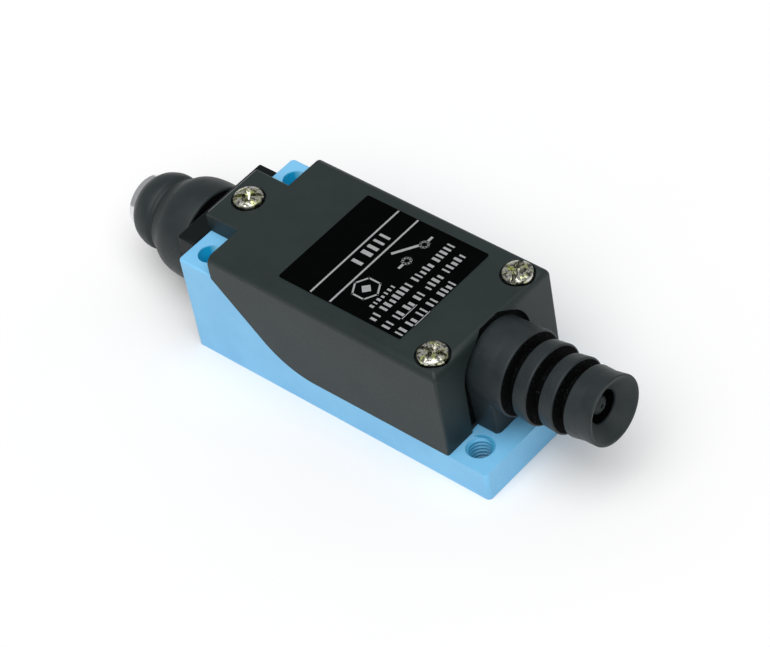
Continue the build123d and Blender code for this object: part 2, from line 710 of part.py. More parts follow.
# ================================================================ contact carrier
with BuildPart() as contact_carrier:
    span(
        CARRIER_BACK,
        CARRIER_FRONT,
        CARRIER_HALF_W,
        PLUNGER_Z - CARRIER_HALF_H,
        PLUNGER_Z + CARRIER_HALF_H,
    )
    span(
        BRIDGE_BACK,
        BRIDGE_FRONT,
        CARRIER_HALF_W,
        PLUNGER_Z - BRIDGE_HALF_H - PLAY,
        PLUNGER_Z + BRIDGE_HALF_H + PLAY,
        Mode.SUBTRACT,
    )
save(contact_carrier, "contact_carrier")

with BuildPart() as contact_bridge:
    span(
        BRIDGE_BACK,
        BRIDGE_FRONT,
        BRIDGE_HALF_L,
        PLUNGER_Z - BRIDGE_HALF_H,
        PLUNGER_Z + BRIDGE_HALF_H,
    )
save(contact_bridge, "contact_bridge")

# ================================================================ contact tips
TIP_PLACES = [(CONTACT_Y, PLUNGER_Z), (-CONTACT_Y, PLUNGER_Z)]
with BuildPart() as bridge_contact_tips:
    rod(across(BRIDGE_FRONT), TIP_PLACES, CONTACT_R, CONTACT_T)
    rod(across(BRIDGE_BACK - CONTACT_T), TIP_PLACES, CONTACT_R, CONTACT_T)
save(bridge_contact_tips, "bridge_contact_tips")

with BuildPart() as fixed_contact_tips:
    rod(across(CLOSED_LEG_X - CONTACT_T), TIP_PLACES, CONTACT_R, CONTACT_T)
    rod(across(OPEN_LEG_X), TIP_PLACES, CONTACT_R, CONTACT_T)
save(fixed_contact_tips, "fixed_contact_tips")


# ================================================================ terminals
def terminal(leg_low, screw_x, side):
    """A brass strap: a leg down into the case and a pad under its screw, on one side."""
    y = side * CONTACT_Y
    leg_x = leg_low + LEG_T / 2
    leg_bottom = PLUNGER_Z - LEG_W / 2
    slab(Plane.XY.offset(leg_bottom), [(leg_x, y)], LEG_T, LEG_W, CASE_TOP + PAD_T - leg_bottom)
    reach = math.copysign(CLAMP_SIDE / 2, screw_x - leg_x)
    pad_low, pad_high = sorted((leg_x - math.copysign(LEG_T / 2, reach), screw_x + reach))
    pad_middle = [((pad_low + pad_high) / 2, y)]
    slab(Plane.XY.offset(CASE_TOP), pad_middle, pad_high - pad_low, 2 * PAD_HALF_W, PAD_T)
    rod(Plane.XY.offset(CASE_TOP), [(screw_x, y)], COVER_HOLE_R, PAD_T, Mode.SUBTRACT)


for kind, leg_low, screw_x in (
    ("closed", CLOSED_LEG_X, CLOSED_SCREW_X),
    ("open", OPEN_LEG_X - LEG_T, OPEN_SCREW_X),
):
    for side_name, side in (("left", 1), ("right", -1)):
        with BuildPart() as strap:
            terminal(leg_low, screw_x, side)
        save(strap, f"terminal_{kind}_{side_name}")

with BuildPart() as terminal_clamps:
    clamp_base = CASE_TOP + PAD_T
    slab(Plane.XY.offset(clamp_base), TERMINAL_PLACES, CLAMP_SIDE, CLAMP_SIDE, CLAMP_T)
    rod(Plane.XY.offset(clamp_base), TERMINAL_PLACES, COVER_HOLE_R, CLAMP_T, Mode.SUBTRACT)
save(terminal_clamps, "terminal_clamps")

with BuildPart() as terminal_screws:
    slotted_screw(TERMINAL_PLACES, CASE_TOP + PAD_T + CLAMP_T, TERMINAL_SHANK_END)
save(terminal_screws, "terminal_screws")

with BuildPart() as switch_block_screws:
    slotted_screw(ears, FLOOR_Z + EAR_H, RECESS_DEPTH / 2)
save(switch_block_screws, "switch_block_screws")

with BuildPart() as earth_screw:
    slotted_screw([(EARTH_X, 0)], FLOOR_Z + CLAMP_T, RECESS_DEPTH / 2)
    rod(Plane.XY.offset(FLOOR_Z), [(EARTH_X, 0)], TERMINAL_HEAD_R, CLAMP_T)
save(earth_screw, "earth_screw")


# ================================================================ cable boot
with BuildPart() as cable_boot:
    # the foot outside the wall, the core in the slot and the flange inside
    foot_z = PLATFORM_Z + FOOT_CLEAR
    root = COVER_BACK + COLLAR_SINK
    wall_in = COVER_BACK + COVER_WALL
    for back, front, half_width in (
        (FOOT_FRONT, root, FOOT_HALF_W),
        (root, wall_in, SLOT_HALF_W - PLAY),
        (wall_in, wall_in + BOOT_INNER_T, BOOT_INNER_HALF_W),
    ):
        with BuildSketch(across(back)):
            u_shape(half_width, foot_z)
        extrude(amount=front - back)
    outline = [(root, 0), (root, COLLAR_ROOT_R), (COLLAR_FRONT, COLLAR_R)]
    groove_front = COLLAR_FRONT
    groove_r = COLLAR_R - GROOVE_DEPTH
    for rib_r in RIB_RADII:
        rib_front = groove_front - GROOVE_L
        outline += [(groove_front, groove_r), (rib_front, groove_r)]
        outline += [(rib_front, rib_r - RIB_TAPER), (rib_front - RIB_L, rib_r)]
        groove_front = rib_front - RIB_L
        groove_r = rib_r - GROOVE_DEPTH
    end_front = groove_front - GROOVE_L
    outline += [
        (groove_front, groove_r),
        (end_front, groove_r),
        (end_front, END_R),
        ((end_front + BOOT_TIP) / 2, END_R - RIB_TAPER),
        (BOOT_TIP + EDGE_R, END_R),
        (BOOT_TIP, END_R - EDGE_R),
        (BOOT_TIP, 0),
    ]
    turned(outline, BOOT_Z)
    bore_l = wall_in + BOOT_INNER_T - BOOT_TIP
    rod(across(BOOT_TIP), [(0, BOOT_Z)], BOOT_BORE_R, bore_l, Mode.SUBTRACT)
    turned(
        [
            (BOOT_TIP, 0),
            (BOOT_TIP, END_R - EDGE_R),
            (BOOT_TIP + MOUTH_DEPTH, BOOT_BORE_R),
            (BOOT_TIP + MOUTH_DEPTH, 0),
        ],
        BOOT_Z,
        Mode.SUBTRACT,
    )
save(cable_boot, "cable_boot")
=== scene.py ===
import json
import math
import random

import bmesh
import bpy
from mathutils import Matrix, Vector


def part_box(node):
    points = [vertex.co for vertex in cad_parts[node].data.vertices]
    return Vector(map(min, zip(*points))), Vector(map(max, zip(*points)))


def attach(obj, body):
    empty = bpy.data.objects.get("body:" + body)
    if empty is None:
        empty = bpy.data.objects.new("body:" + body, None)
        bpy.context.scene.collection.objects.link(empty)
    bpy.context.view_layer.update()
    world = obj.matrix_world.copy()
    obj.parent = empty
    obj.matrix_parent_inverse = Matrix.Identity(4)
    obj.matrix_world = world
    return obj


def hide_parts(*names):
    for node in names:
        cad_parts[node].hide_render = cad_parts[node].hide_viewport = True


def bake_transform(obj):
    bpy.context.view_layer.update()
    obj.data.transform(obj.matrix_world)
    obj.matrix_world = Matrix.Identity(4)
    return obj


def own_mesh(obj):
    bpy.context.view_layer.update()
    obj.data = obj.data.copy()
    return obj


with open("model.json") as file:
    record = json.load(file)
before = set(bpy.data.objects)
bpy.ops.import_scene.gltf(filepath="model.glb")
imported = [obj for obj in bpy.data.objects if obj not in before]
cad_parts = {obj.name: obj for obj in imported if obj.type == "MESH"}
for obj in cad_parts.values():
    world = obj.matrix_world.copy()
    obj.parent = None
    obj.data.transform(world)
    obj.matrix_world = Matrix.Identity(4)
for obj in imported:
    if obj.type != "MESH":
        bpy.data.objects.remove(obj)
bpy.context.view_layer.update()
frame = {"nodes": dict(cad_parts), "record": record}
nodes = frame["nodes"]

# Sizes are in millimetres, turned into metres where Blender needs them.
MM = 0.001
ROUND_SIDES = 128
SMOOTH_ANGLE = math.radians(38)


# ================================================================ places from the frame
def corners(node):
    """The lowest and highest corner of a CAD node."""
    low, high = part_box(node)
    return Vector(low) / MM, Vector(high) / MM


base_low, base_high = corners("base_housing")
cover_low, cover_high = corners("front_cover")
plunger_low, plunger_high = corners("plunger")
label_low, label_high = corners("rating_label")
sleeve_low, sleeve_high = corners("cable_boot")
screws_low, screws_high = corners("cover_screws")
BODY_END = base_low.x
HEAD_END = base_high.x
COVER_BACK = cover_low.x
# The heights of the plunger's axis, the cable's axis and the platform under the cable boot.
PLUNGER_Z = (plunger_low.z + plunger_high.z) / 2
CABLE_Z = 16.5
PLATFORM_Z = 6.1


# ================================================================ mesh tools
def mesh_in_metres(name, bm):
    """Turns a bmesh in millimetres into a mesh in metres."""
    bmesh.ops.scale(bm, vec=(MM, MM, MM), verts=bm.verts)
    mesh = bpy.data.meshes.new(name)
    bm.to_mesh(mesh)
    bm.free()
    return mesh


def add_object(name, data):
    """Puts a mesh, light or camera in the scene."""
    made = bpy.data.objects.new(name, data)
    bpy.context.scene.collection.objects.link(made)
    return made


def finish_mesh(name, bm, materials, body):
    """Turns a bmesh into a smooth piece, and puts it on a body if one is given."""
    bmesh.ops.recalc_face_normals(bm, faces=bm.faces)
    mesh = mesh_in_metres(name, bm)
    mesh.shade_smooth()
    mesh.set_sharp_from_angle(angle=SMOOTH_ANGLE)
    for material in materials:
        mesh.materials.append(material)
    piece = add_object(name, mesh)
    if body:
        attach(piece, body)
    return piece


def skin(bm, rings, loop=False):
    """Adds a surface through rings of points. A ring of one point closes an end."""
    made = [[bm.verts.new(point) for point in ring] for ring in rings]
    following = made[1:] + made[:1] if loop else made[1:]
    for low, high in zip(made, following):
        count = max(len(low), len(high))
        for i in range(count):
            j = (i + 1) % count
            around = [low[i % len(low)], low[j % len(low)], high[j % len(high)], high[i % len(high)]]
            bm.faces.new(list(dict.fromkeys(around)))


def shade_rings(bm, painted_shade_rings, sides=ROUND_SIDES):
    """Gives the faces between two rings marked for painted shade the second material, in a skin just made.
    """
    following = painted_shade_rings[1:] + painted_shade_rings[:1]
    bands = [first and second for first, second in zip(painted_shade_rings, following)]
    for i, face in enumerate(bm.faces):
        face.material_index = int(bands[i // sides])


def circle(radius, sides=ROUND_SIDES):
    """Even points of a circle round (0, 0), or the centre alone where the radius is zero."""
    if radius == 0:
        return [(0.0, 0.0)]
    turns = [2 * math.pi * i / sides for i in range(sides)]
    return [(radius * math.cos(turn), radius * math.sin(turn)) for turn in turns]


def ring_about_x(x, radius, centre_z):
    """A circle of points about an axis along X, at the middle of the body's width."""
    return [Vector((x, across, centre_z + up)) for across, up in circle(radius)]


def ring_about_z(z, radius, centre_x, centre_y, sides):
    """A circle of points about an axis along Z."""
    return [Vector((centre_x + a, centre_y + b, z)) for a, b in circle(radius, sides)]


# A rounding takes at most this share of the edge on each side of its corner.
ROUNDING_SHARE = 0.49


def rounded(outline, steps=5):
    """Points of an outline with its corners rounded. Each corner is (along, radius, rounding)."""
    points = []
    for i, (along, radius, rounding) in enumerate(outline):
        here = Vector((along, radius))
        if rounding == 0:
            points.append(here)
            continue
        before = Vector(outline[i - 1][:2]) - here
        after = Vector(outline[i + 1][:2]) - here
        reach = rounding / math.tan(before.angle(after) / 2)
        start = here + before.normalized() * min(reach, before.length * ROUNDING_SHARE)
        end = here + after.normalized() * min(reach, after.length * ROUNDING_SHARE)
        for k in range(steps + 1):
            t = k / steps
            points.append((1 - t) ** 2 * start + 2 * t * (1 - t) * here + t * t * end)
    return points


def flowing(points, steps=6):
    """A smooth curve through points, as Catmull-Rom spans."""
    ends = [2 * points[0] - points[1]] + points + [2 * points[-1] - points[-2]]
    curve = []
    for a, b, c, d in zip(ends, ends[1:], ends[2:], ends[3:]):
        for k in range(steps):
            t = k / steps
            straight = 2 * b + (c - a) * t
            bend = (2 * a - 5 * b + 4 * c - d) * t**2
            twist = (3 * b - a - 3 * c + d) * t**3
            curve.append((straight + bend + twist) / 2)
    return curve + [points[-1]]


def tube(bm, path, radius, sides=12):
    """A round wire along a path of points, closed at both ends."""
    rings = [[path[0]]]
    normal = (path[1] - path[0]).orthogonal().normalized()
    for i, point in enumerate(path):
        along = (path[min(i + 1, len(path) - 1)] - path[max(i - 1, 0)]).normalized()
        normal = (normal - along * normal.dot(along)).normalized()
        side = along.cross(normal)
        rings.append([point + radius * (a * normal + b * side) for a, b in circle(1.0, sides)])
    rings.append([path[-1]])
    skin(bm, rings)


# Shares of a thread's pitch: half the ridge's width at root and crest, and how far it stops short of
# both ends.
ROOT_HALF = 0.42
CREST_HALF = 0.08
END_GAP = 0.35
# The share of a turn over which the ridge fades in and out, and the least share of its height.
FADE_TURN = 1 / 3
LEAST_FADE = 0.02


def thread_ridge(bm, centre, axis_low, axis_high, root, crest, pitch, steps=48):
    """A V thread along Z that winds from axis_low to axis_high, fading out at both ends."""
    count = round((axis_high - axis_low - 2 * END_GAP * pitch) / pitch * steps)
    fade_steps = steps * FADE_TURN
    rings = []
    for i in range(count + 1):
        angle = 2 * math.pi * i / steps
        z = axis_low + END_GAP * pitch + i / steps * pitch
        fade = min(1, i / fade_steps, (count - i) / fade_steps)
        reach = root + (crest - root) * max(fade, LEAST_FADE)
        out = Vector((math.cos(angle), math.sin(angle), 0))
        section = [(root, -ROOT_HALF), (reach, -CREST_HALF), (reach, CREST_HALF), (root, ROOT_HALF)]
        rings.append([centre + out * r + Vector((0, 0, z + share * pitch)) for r, share in section])
    start = sum(rings[0], Vector()) / len(rings[0])
    end = sum(rings[-1], Vector()) / len(rings[-1])
    skin(bm, [[start]] + rings + [[end]])


def slab(bm, x, y, z, size_x, size_y, size_z, turn=0.0):
    """A box centred on x and y, standing on z."""
    made = bmesh.ops.create_cube(bm, size=1)["verts"]
    grow = Matrix.Diagonal((size_x, size_y, size_z, 1))
    place = Matrix.Translation((x, y, z + size_z / 2)) @ Matrix.Rotation(turn, 4, "Z") @ grow
    bmesh.ops.transform(bm, matrix=place, verts=made)


def round_edges(piece, width, sharper_than):
    """Gives edges sharper than an angle in degrees a small round, by a modifier."""
    bevel = piece.modifiers.new("round", "BEVEL")
    bevel.width = width * MM
    bevel.segments = 2
    bevel.limit_method = "ANGLE"
    bevel.angle_limit = math.radians(sharper_than)
    return bevel


def cut(piece, cutter_bm, width=0.0):
    """Cuts a bmesh out of a piece, and rounds the piece's edges by width if one is given."""
    bmesh.ops.recalc_face_normals(cutter_bm, faces=cutter_bm.faces)
    cutter_name = piece.name + "_cutter"
    cutter = add_object(cutter_name, mesh_in_metres(cutter_name, cutter_bm))
    boolean = piece.modifiers.new("cut", "BOOLEAN")
    boolean.operation = "DIFFERENCE"
    boolean.solver = "EXACT"
    boolean.object = cutter
    if width:
        round_edges(piece, width, sharper_than=50)
    bpy.context.view_layer.update()
    final = bpy.data.meshes.new_from_object(piece.evaluated_get(bpy.context.evaluated_depsgraph_get()))
    piece.modifiers.clear()
    piece.data = final
    final.set_sharp_from_angle(angle=SMOOTH_ANGLE)
    bpy.data.objects.remove(cutter)


# ================================================================ materials
# Nearly all of a noise texture's values lie between these two.
NOISE_LOW = 0.3
NOISE_HIGH = 0.7
# The places of the colour sockets on a Mix node.
MIX_FIRST = 6
MIX_SECOND = 7
MIX_RESULT = 2


class Finish:
    """A procedural material built round one Principled shader, in object coordinates."""

    def __init__(self, name, roughness, metallic=0.0, shine=0.5):
        self.material = bpy.data.materials.new(name)
        self.material.use_nodes = True
        self.tree = self.material.node_tree
        self.shader = self.tree.nodes["Principled BSDF"]
        self.roughness = roughness
        self.set("Roughness", roughness)
        self.set("Metallic", metallic)
        self.set("Specular IOR Level", shine)
        self.place = self.tree.nodes.new("ShaderNodeTexCoord").outputs["Object"]

    def set(self, socket, value):
        self.shader.inputs[socket].default_value = value

    def link(self, source, target):
        self.tree.links.new(source, target)

    def noise(self, size, detail=3.0):
        """Noise whose features are about size millimetres."""
        node = self.tree.nodes.new("ShaderNodeTexNoise")
        node.inputs["Scale"].default_value = 1 / (size * MM)
        node.inputs["Detail"].default_value = detail
        self.link(self.place, node.inputs["Vector"])
        return node.outputs["Fac"]

    def spots(self, size):
        """The distance to scattered points about size millimetres apart."""
        node = self.tree.nodes.new("ShaderNodeTexVoronoi")
        node.inputs["Scale"].default_value = 1 / (size * MM)
        self.link(self.place, node.inputs["Vector"])
        return node.outputs["Distance"]

    def spread(self, source, low=NOISE_LOW, high=NOISE_HIGH, to_low=0.0, to_high=1.0):
        """Maps a value's range onto another, clamped."""
        node = self.tree.nodes.new("ShaderNodeMapRange")
        ranges = {"From Min": low, "From Max": high, "To Min": to_low, "To Max": to_high}
        for socket, value in ranges.items():
            node.inputs[socket].default_value = value
        self.link(source, node.inputs["Value"])
        return node.outputs["Result"]

    def blend(self, share, first, second):
        """A colour between first and second, which are colours or sockets."""
        node = self.tree.nodes.new("ShaderNodeMix")
        node.data_type = "RGBA"
        self.link(share, node.inputs["Factor"])
        for place, value in ((MIX_FIRST, first), (MIX_SECOND, second)):
            if isinstance(value, tuple):
                node.inputs[place].default_value = (*value, 1)
            else:
                self.link(value, node.inputs[place])
        return node.outputs[MIX_RESULT]

    def colour(self, source):
        self.link(source, self.shader.inputs["Base Color"])

    def rough(self, source, down, up):
        """Lets a value carry the roughness from down below the material's own to up above it."""
        varied = self.spread(source, to_low=self.roughness - down, to_high=self.roughness + up)
        self.link(varied, self.shader.inputs["Roughness"])

    def bumps(self, *layers):
        """Bump from (height socket, depth in millimetres) layers, one on another."""
        normal = None
        for height, depth in layers:
            node = self.tree.nodes.new("ShaderNodeBump")
            node.inputs["Distance"].default_value = depth * MM
            self.link(height, node.inputs["Height"])
            if normal:
                self.link(normal, node.inputs["Normal"])
            normal = node.outputs["Normal"]
        self.link(normal, self.shader.inputs["Normal"])


def times(factor, colour):
    """A colour made lighter or darker."""
    return tuple(factor * value for value in colour)


def enamel(name, dark, light):
    """Blue paint on die-cast metal: a faint orange peel and slightly uneven cover."""
    finish = Finish(name, roughness=0.42)
    cloud = finish.noise(9.0)
    grain = finish.noise(0.35, detail=5.0)
    shade = finish.blend(finish.spread(cloud, 0.35, 0.65), dark, light)
    speck = finish.spread(finish.noise(0.12, detail=2.0), 0.68, 0.74)
    finish.colour(finish.blend(speck, shade, times(0.75, dark)))
    finish.rough(grain, down=0.06, up=0.08)
    finish.bumps((finish.noise(1.4), 0.02), (grain, 0.012))
    finish.set("Coat Weight", 0.15)
    finish.set("Coat Roughness", 0.3)
    return finish.material


def moulding(name, dark, light, roughness, shine, grain_depth=0.014):
    """Black moulded plastic with a fine spark-eroded grain and a little dust."""
    finish = Finish(name, roughness, shine=shine)
    cloud = finish.noise(7.0, detail=4.0)
    grain = finish.noise(0.22, detail=4.0)
    body = finish.blend(finish.spread(cloud), dark, light)
    dust = finish.spread(finish.spots(2.6), 0.035, 0.015)
    finish.colour(finish.blend(dust, body, times(4, light)))
    finish.rough(grain, down=0.06, up=0.08)
    finish.bumps((finish.spots(0.16), grain_depth), (grain, grain_depth))
    return finish.material


def rubber(name, dark, light, roughness):
    """Smooth moulded rubber: faint flow marks, dust and a dull shine."""
    finish = Finish(name, roughness, shine=0.35)
    cloud = finish.noise(3.0, detail=5.0)
    grain = finish.noise(0.3, detail=4.0)
    body = finish.blend(finish.spread(cloud), dark, light)
    dust = finish.spread(finish.noise(0.5, detail=6.0), 0.62, 0.8)
    finish.colour(finish.blend(dust, body, times(1.8, light)))
    finish.rough(cloud, down=0.05, up=0.1)
    finish.bumps((cloud, 0.03), (grain, 0.012))
    return finish.material


def painted_shade_rubber():
    """Painted shade for rubber in grooves, gaps, recesses and necks: nearly black, with fine grey specks.
    """
    black = (0.0012, 0.0014, 0.0016)
    grey = (0.02, 0.021, 0.023)
    finish = Finish("painted_shade_rubber", roughness=0.8, shine=0.05)
    specks = finish.spread(finish.noise(0.3), 0.6, 0.68)
    finish.colour(finish.blend(specks, black, grey))
    finish.bumps((finish.noise(0.3), 0.02))
    return finish.material


def bore_painted_light_and_shade():
    """Blue paint inside a plain hole, with painted light and shade: lighter towards the cable end, darker
    towards the head end.
    """
    # Painted light at the cable end of the hole, painted shade at its head end.
    light = (0.4, 0.85, 1.0)
    deep = (0.005, 0.42, 0.72)
    painted_light_end = 29.6
    painted_shade_start = 30.9
    finish = Finish("bore_painted_light_and_shade", roughness=0.5)
    parts = finish.tree.nodes.new("ShaderNodeSeparateXYZ")
    finish.link(finish.place, parts.inputs["Vector"])
    turned = finish.spread(parts.outputs["X"], painted_light_end * MM, painted_shade_start * MM)
    finish.colour(finish.blend(turned, light, deep))
    return finish.material


def plated_screw():
    """Yellow zinc plating on a battered head: bright and dark patches with a green tinge."""
    silver = (0.68, 0.67, 0.61)
    green = (0.6, 0.64, 0.28)
    dull = (0.1, 0.1, 0.085)
    finish = Finish("yellow_zinc", roughness=0.2, metallic=1.0)
    tinge = finish.spread(finish.noise(1.3), 0.48, 0.6)
    bright = finish.blend(tinge, silver, green)
    patch = finish.spread(finish.noise(0.55), 0.47, 0.6)
    finish.colour(finish.blend(patch, bright, dull))
    marks = finish.noise(0.12, detail=4.0)
    finish.rough(marks, down=0.05, up=0.1)
    finish.bumps((marks, 0.004), (finish.noise(0.8), 0.1))
    return finish.material


def drive_shadow():
    """Painted shade in the drive recess of a screw: dull dark metal with lighter patches."""
    painted_shade_metal = (0.07, 0.07, 0.06)
    bare = (0.35, 0.35, 0.28)
    finish = Finish("drive_shadow", roughness=0.35, metallic=1.0)
    patch = finish.spread(finish.noise(0.5), 0.4, 0.6)
    finish.colour(finish.blend(patch, painted_shade_metal, bare))
    return finish.material


def label_film():
    """Black printed film with a faint scuffed gloss."""
    black = (0.0003, 0.0004, 0.0004)
    worn = (0.0006, 0.0008, 0.0008)
    finish = Finish("label_film", roughness=0.5, shine=0.02)
    cloud = finish.noise(2.0, detail=5.0)
    finish.colour(finish.blend(finish.spread(cloud), black, worn))
    finish.rough(finish.noise(0.8, detail=6.0), down=0.08, up=0.12)
    finish.bumps((cloud, 0.006), (finish.noise(0.2), 0.004))
    return finish.material


def ink():
    """Light grey screen-printed ink, thin in places."""
    full = (0.33, 0.335, 0.34)
    thin = (0.22, 0.225, 0.23)
    finish = Finish("label_ink", roughness=0.6)
    patch = finish.spread(finish.noise(0.25, detail=5.0), 0.4, 0.75)
    finish.colour(finish.blend(patch, full, thin))
    finish.bumps((finish.noise(0.15), 0.004))
    return finish.material


def metal(name, dark, light, roughness):
    """Bare or plated metal with drawn or tumbled marks."""
    finish = Finish(name, roughness, metallic=1.0)
    cloud = finish.noise(1.1, detail=4.0)
    marks = finish.noise(0.12, detail=4.0)
    finish.colour(finish.blend(finish.spread(cloud), dark, light))
    finish.rough(marks, down=0.05, up=0.1)
    finish.bumps((marks, 0.004), (cloud, 0.008))
    return finish.material


def resin(name, dark, light, roughness):
    """Filled thermoset or engineering plastic: mottled, with a fine grain."""
    finish = Finish(name, roughness)
    mottle = finish.noise(0.9, detail=6.0)
    grain = finish.noise(0.2)
    finish.colour(finish.blend(finish.spread(mottle, 0.35, 0.65), dark, light))
    finish.rough(mottle, down=0.05, up=0.08)
    finish.bumps((grain, 0.01))
    return finish.material


FINISHES = {
    "blue_enamel": enamel("blue_enamel", (0.162, 0.47, 0.765), (0.19, 0.52, 0.81)),
    "cover_plastic": moulding(
        "cover_plastic",
        (0.006, 0.013, 0.013),
        (0.0095, 0.018, 0.018),
        roughness=0.5,
        shine=0.42,
    ),
    "guide_black": moulding(
        "guide_black",
        (0.001, 0.003, 0.004),
        (0.002, 0.005, 0.006),
        roughness=0.45,
        shine=0.16,
        grain_depth=0.01,
    ),
    "label_film": label_film(),
    "black_rubber": rubber("black_rubber", (0.010, 0.016, 0.018), (0.015, 0.022, 0.024), roughness=0.48),
    "seal_rubber": rubber("seal_rubber", (0.01, 0.01, 0.011), (0.018, 0.018, 0.018), roughness=0.6),
    "yellow_zinc": plated_screw(),
    "plunger_chrome": metal("plunger_chrome", (0.72, 0.73, 0.75), (0.8, 0.81, 0.83), roughness=0.13),
    "bush_brass": metal("bush_brass", (0.45, 0.31, 0.14), (0.6, 0.43, 0.2), roughness=0.4),
    "spring_steel": metal("spring_steel", (0.42, 0.42, 0.44), (0.56, 0.56, 0.58), roughness=0.3),
    "switch_resin": resin("switch_resin", (0.045, 0.02, 0.012), (0.075, 0.034, 0.02), roughness=0.4),
    "slider_resin": resin("slider_resin", (0.62, 0.58, 0.48), (0.7, 0.67, 0.58), roughness=0.45),
    "terminal_brass": metal("terminal_brass", (0.58, 0.42, 0.18), (0.74, 0.56, 0.28), roughness=0.3),
    "contact_silver": metal("contact_silver", (0.7, 0.69, 0.66), (0.84, 0.83, 0.8), roughness=0.25),
    "steel_zinc": metal("steel_zinc", (0.5, 0.52, 0.55), (0.64, 0.66, 0.7), roughness=0.26),
}
INK = ink()
# Painted light and shade inside the plain holes.
BORE_LIGHT_AND_SHADE = bore_painted_light_and_shade()
# Blue paint darkened as painted shade on the threads inside the tapped holes.
THREAD_PAINTED_SHADE = enamel("thread_painted_shade", (0.04, 0.33, 0.55), (0.08, 0.4, 0.65))
DRIVE_SHADOW = drive_shadow()
# Paler plastic that paints a highlight along the tongue's front edge.
PAINTED_HIGHLIGHT_PLASTIC = moulding("painted_edge_highlight", (0.1, 0.11, 0.11), (0.16, 0.17, 0.17), roughness=0.4, shine=0.5)
# Painted shade for the rubber's grooves, gaps and necks.
PAINTED_SHADE_RUBBER = painted_shade_rubber()

slot_of_node = {row["node"]: row["material_slot"] for row in frame["record"]["subparts"]}
for node_name, node in nodes.items():
    node.data.materials.clear()
    node.data.materials.append(FINISHES[slot_of_node[node_name]])


# ================================================================ softened CAD edges
# How far the sharp edges of these nodes are rounded, and how close corners must be to be welded.
EDGE_ROUNDS = {"base_housing": 0.14, "front_cover": 0.2, "plunger_guide": 0.15}
WELD_DISTANCE = 0.001


def soften(node_name, width):
    """Welds a CAD node's split corners and gives its sharp edges a small round."""
    node = nodes[node_name]
    weld = node.modifiers.new("weld", "WELD")
    weld.merge_threshold = WELD_DISTANCE * MM
    bevel = round_edges(node, width, sharper_than=45)
    bevel.harden_normals = True


# ================================================================ cable boot
# Points closer together than this are one point.
SAME_POINT = 1e-4
# Lengths run from the collar's front edge towards the mouth, and the boot lifts as it goes.
BOOT_SIDES = 240
# How far the collar's front edge and the foot's front stand back from the platform's end.
COLLAR_SETBACK = 1.3
FOOT_SETBACK = 4.0
BOOT_FRONT = BODY_END + COLLAR_SETBACK
BOOT_LENGTH = BOOT_FRONT - sleeve_low.x
BOOT_LIFT = 1.6
# How far the mouth leans back, in radians.
MOUTH_TILT = 0.064
COVER_WALL = 2.0
COLLAR_SINK = 0.9
# The lengths of the boot's inner end, the wall's inner face, the collar's root, the foot's front and the
# start of the round sleeve.
INNER_END = BOOT_FRONT - sleeve_high.x
WALL_IN = BOOT_FRONT - (COVER_BACK + COVER_WALL)
ROOT = BOOT_FRONT - (COVER_BACK + COLLAR_SINK)
FOOT_FRONT = BOOT_FRONT - (BODY_END + FOOT_SETBACK)
SLEEVE_START = FOOT_FRONT + 0.35
BORE_R = 3.0
INNER_FACE_R = 4.2
FLANGE_R = 6.4
FLANGE_EDGE = 0.1
NECK_R = 5.55
# A thin lip in the recess of the wall, painted in shade, and the collar that stands out of it.
RECESS_R = 8.6
LIP_T = 0.25
COLLAR_ROOT_R = 7.5
COLLAR_MIDDLE_R = 7.6
COLLAR_FRONT_R = 7.7
COLLAR_R = 7.9
FOOT_HALF_W = 6.8
FOOT_ROUND = 0.8
FOOT_STEPS = 6
# The foot's front face slopes by this much, and draws back to the collar in these shares.
FOOT_SLOPE = 0.1
FOOT_SHARES = (0.66, 0.33, 0.12)
# How far below the axis the foot ends, just clear of the platform, and how far above it the lip ends,
# just under the cover's top.
FOOT_GAP = 0.05
TOP_GAP = 0.15
FOOT_DROP = CABLE_Z - PLATFORM_Z - FOOT_GAP
HEADROOM = cover_high.z - CABLE_Z - TOP_GAP
# The first two ribs: each one's radius, and where it starts and ends. Each is narrower at its start.
RIBS = ((7.4, 1.9, 4.9), (6.9, 7.0, 10.0))
RIB_TAPER = 0.35
EDGE_ROUND = 0.35
CORNER_ROUND = 0.3
GROOVE_DEPTH = 2.3
LAST_GROOVE_R = 4.2
# How far a groove's walls lean where it starts and where it ends.
START_LEAN = 0.12
END_LEAN = 0.1
# Each groove's start, end and the radius under which it gets painted shade.
GROOVES = ((-0.1, 2.05, 7.6), (4.8, 7.1, 7.1), (9.9, 12.12, 6.6))
# A ring below this radius is in the bore and not in a groove.
GROOVE_LEAST_R = 4.0
# The gap round the membrane, which gets painted shade: how far back from the mouth it starts and ends, and
# its radii.
MEMBRANE_GAP = (2.8, 5.5, 1.7, 3.8)
# The last groove's end and the last rib, as (length, radius, rounding).
LAST_RIB = [(12.0, LAST_GROOVE_R, CORNER_ROUND), (12.1, 6.45, 0.4), (14.8, 6.2, 2.0)]
# The funnel, the gap behind it and the pierced membrane. Each corner is (distance back from the mouth,
# radius, rounding).
MOUTH = [
    (0.0, 6.4, EDGE_ROUND),
    (0.15, 5.8, 0.25),
    (2.4, 3.1, 0.2),
    (2.75, 3.0, 0.1),
    (2.95, 3.7, 0.1),
    (5.2, 3.7, 0.2),
    (5.2, 1.85, 0.2),
    (3.2, 1.75, 0.7),
    (2.5, 0.4, 0.25),
    (3.3, 0.3, 0.0),
    (5.7, 0.3, 0.0),
    (6.0, BORE_R, 0.0),
]


